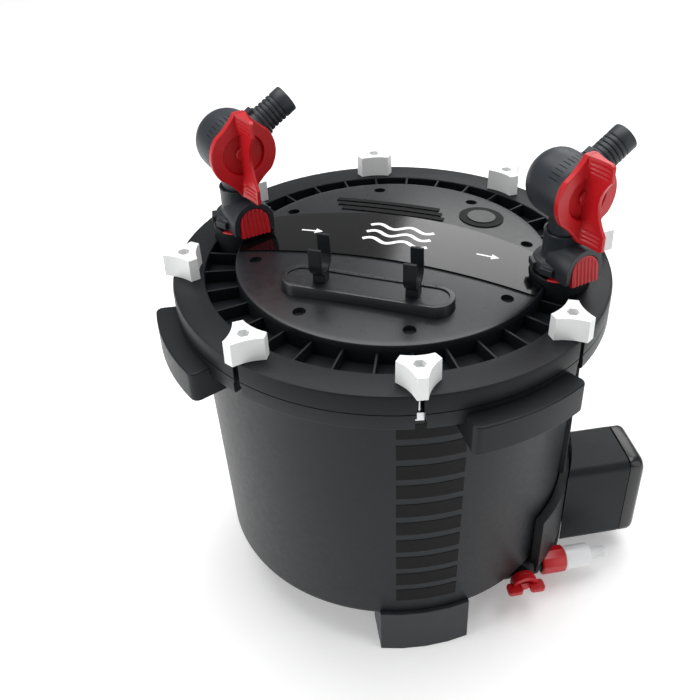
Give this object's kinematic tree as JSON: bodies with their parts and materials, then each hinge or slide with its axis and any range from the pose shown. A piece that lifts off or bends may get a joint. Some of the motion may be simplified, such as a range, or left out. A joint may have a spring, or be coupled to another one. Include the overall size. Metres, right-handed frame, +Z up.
{
  "type": "canister filter",
  "caption": "Tapering round canister filter with a bolted lid, quick-release ball valves, a side motor and a drain valve.",
  "frame": {"origin": "on the floor, in the middle of the whole filter's footprint", "axes": "+Z up along the bucket's axis; +X from the inlet valve to the outlet valve, towards the side with the motor; -Y towards the clip tray"},
  "size_m": [0.405, 0.352, 0.4187],
  "materials": {
    "body_plastic": "satin dark charcoal plastic, fine moulded grain",
    "dark_plastic": "satin near-black plastic",
    "gloss_black": "polished black trim",
    "valve_grey": "satin dark grey plastic",
    "red_plastic": "semi-gloss red plastic",
    "white_plastic": "semi-gloss white plastic",
    "rubber": "matte black rubber",
    "foam": "open-cell filter foam",
    "steel": "plain steel",
    "ceramic": "smooth ceramic"
  },
  "bodies": {
    "vessel": {"canister": "body_plastic", "foot_front": "dark_plastic", "foot_right_rear": "dark_plastic", "foot_left_rear": "dark_plastic", "lid": "body_plastic", "lid_seal": "rubber", "lid_cover": "body_plastic", "badge_band": "gloss_black", "clip_tray": "body_plastic", "clip_left": "dark_plastic", "clip_right": "dark_plastic", "valve_socket_in": "dark_plastic", "valve_socket_out": "dark_plastic", "basket_lower": "white_plastic", "basket_upper": "white_plastic", "foam_sleeve": "foam", "centre_pipe": "dark_plastic", "motor_bracket": "dark_plastic", "motor_housing": "body_plastic", "motor_end_cap": "dark_plastic", "pump_cover": "dark_plastic", "impeller_shaft": "ceramic", "stator": "steel", "cord_gland": "rubber", "drain_pipe": "dark_plastic", "drain_body": "dark_plastic", "drain_nozzle": "white_plastic"},
    "bolt_1": {"bolt_1": "steel"},
    "nut_1": {"nut_1": "white_plastic"},
    "bolt_2": {"bolt_2": "steel"},
    "nut_2": {"nut_2": "white_plastic"},
    "bolt_3": {"bolt_3": "steel"},
    "nut_3": {"nut_3": "white_plastic"},
    "bolt_4": {"bolt_4": "steel"},
    "nut_4": {"nut_4": "white_plastic"},
    "bolt_5": {"bolt_5": "steel"},
    "nut_5": {"nut_5": "white_plastic"},
    "bolt_6": {"bolt_6": "steel"},
    "nut_6": {"nut_6": "white_plastic"},
    "bolt_7": {"bolt_7": "steel"},
    "nut_7": {"nut_7": "white_plastic"},
    "bolt_8": {"bolt_8": "steel"},
    "nut_8": {"nut_8": "white_plastic"},
    "valve_in": {"valve_neck_in": "valve_grey", "valve_drum_in": "valve_grey", "hose_barb_in": "valve_grey"},
    "lever_in": {"valve_lever_in": "red_plastic", "valve_ball_in": "white_plastic"},
    "tab_in": {"release_tab_in": "red_plastic"},
    "valve_out": {"valve_neck_out": "valve_grey", "valve_drum_out": "valve_grey", "hose_barb_out": "valve_grey"},
    "lever_out": {"valve_lever_out": "red_plastic", "valve_ball_out": "white_plastic"},
    "tab_out": {"release_tab_out": "red_plastic"},
    "drain_valve": {"drain_handle": "red_plastic", "drain_ball": "white_plastic"},
    "drain_lock_nut": {"drain_lock_nut": "red_plastic"},
    "impeller": {"impeller": "rubber"}
  },
  "joints": [
    {"name": "bolt_1_slide", "type": "slide", "parent": "vessel", "child": "bolt_1", "axis": [0.9239, 0.3827, 0], "range_m": [0, 0.022]},
    {"name": "nut_1_turn", "type": "hinge", "parent": "bolt_1", "child": "nut_1", "pos_m": [0.12589, 0.06314, 0.309], "axis": [0, 0, 1], "continuous": true},
    {"name": "bolt_2_slide", "type": "slide", "parent": "vessel", "child": "bolt_2", "axis": [0.3827, 0.9239, 0], "range_m": [0, 0.022]},
    {"name": "nut_2_turn", "type": "hinge", "parent": "bolt_2", "child": "nut_2", "pos_m": [0.0366, 0.15244, 0.309], "axis": [0, 0, 1], "continuous": true},
    {"name": "bolt_3_slide", "type": "slide", "parent": "vessel", "child": "bolt_3", "axis": [-0.3827, 0.9239, 0], "range_m": [0, 0.022]},
    {"name": "nut_3_turn", "type": "hinge", "parent": "bolt_3", "child": "nut_3", "pos_m": [-0.08969, 0.15244, 0.309], "axis": [0, 0, 1], "continuous": true},
    {"name": "bolt_4_slide", "type": "slide", "parent": "vessel", "child": "bolt_4", "axis": [-0.9239, 0.3827, 0], "range_m": [0, 0.022]},
    {"name": "nut_4_turn", "type": "hinge", "parent": "bolt_4", "child": "nut_4", "pos_m": [-0.17899, 0.06314, 0.309], "axis": [0, 0, 1], "continuous": true},
    {"name": "bolt_5_slide", "type": "slide", "parent": "vessel", "child": "bolt_5", "axis": [-0.9239, -0.3827, 0], "range_m": [0, 0.022]},
    {"name": "nut_5_turn", "type": "hinge", "parent": "bolt_5", "child": "nut_5", "pos_m": [-0.17899, -0.06314, 0.309], "axis": [0, 0, 1], "continuous": true},
    {"name": "bolt_6_slide", "type": "slide", "parent": "vessel", "child": "bolt_6", "axis": [-0.3827, -0.9239, 0], "range_m": [0, 0.022]},
    {"name": "nut_6_turn", "type": "hinge", "parent": "bolt_6", "child": "nut_6", "pos_m": [-0.08969, -0.15244, 0.309], "axis": [0, 0, 1], "continuous": true},
    {"name": "bolt_7_slide", "type": "slide", "parent": "vessel", "child": "bolt_7", "axis": [0.3827, -0.9239, 0], "range_m": [0, 0.022]},
    {"name": "nut_7_turn", "type": "hinge", "parent": "bolt_7", "child": "nut_7", "pos_m": [0.0366, -0.15244, 0.309], "axis": [0, 0, 1], "continuous": true},
    {"name": "bolt_8_slide", "type": "slide", "parent": "vessel", "child": "bolt_8", "axis": [0.9239, -0.3827, 0], "range_m": [0, 0.022]},
    {"name": "nut_8_turn", "type": "hinge", "parent": "bolt_8", "child": "nut_8", "pos_m": [0.12589, -0.06314, 0.309], "axis": [0, 0, 1], "continuous": true},
    {"name": "valve_in_lift", "type": "slide", "parent": "vessel", "child": "valve_in", "axis": [0, 0, 1], "range_m": [0, 0.045]},
    {"name": "lever_in_turn", "type": "hinge", "parent": "valve_in", "child": "lever_in", "pos_m": [-0.16015, 0.0064, 0.3795], "axis": [-0.7314, 0.682, 0], "range_deg": [0, 90]},
    {"name": "tab_in_push", "type": "slide", "parent": "valve_in", "child": "tab_in", "axis": [-0.7314, 0.682, 0], "range_m": [0, 0.0034], "stiffness_N_per_m": 600, "springref_m": -0.002},
    {"name": "valve_out_lift", "type": "slide", "parent": "vessel", "child": "valve_out", "axis": [0, 0, 1], "range_m": [0, 0.045]},
    {"name": "lever_out_turn", "type": "hinge", "parent": "valve_out", "child": "lever_out", "pos_m": [0.10705, 0.0064, 0.3795], "axis": [-0.7314, 0.682, 0], "range_deg": [0, 90]},
    {"name": "tab_out_push", "type": "slide", "parent": "valve_out", "child": "tab_out", "axis": [-0.7314, 0.682, 0], "range_m": [0, 0.0034], "stiffness_N_per_m": 600, "springref_m": -0.002},
    {"name": "drain_handle_turn", "type": "hinge", "parent": "vessel", "child": "drain_valve", "pos_m": [0.106, -0.05332, 0.0297], "axis": [-0.4695, 0.8829, 0], "range_deg": [0, 90]},
    {"name": "drain_lock_nut_turn", "type": "hinge", "parent": "vessel", "child": "drain_lock_nut", "pos_m": [0.13514, -0.03782, 0.0297], "axis": [0.8829, 0.4695, 0], "continuous": true},
    {"name": "impeller_spin", "type": "hinge", "parent": "vessel", "child": "impeller", "pos_m": [0.16215, 0.03917, 0.065], "axis": [0.8829, 0.4695, 0], "continuous": true}
  ]
}
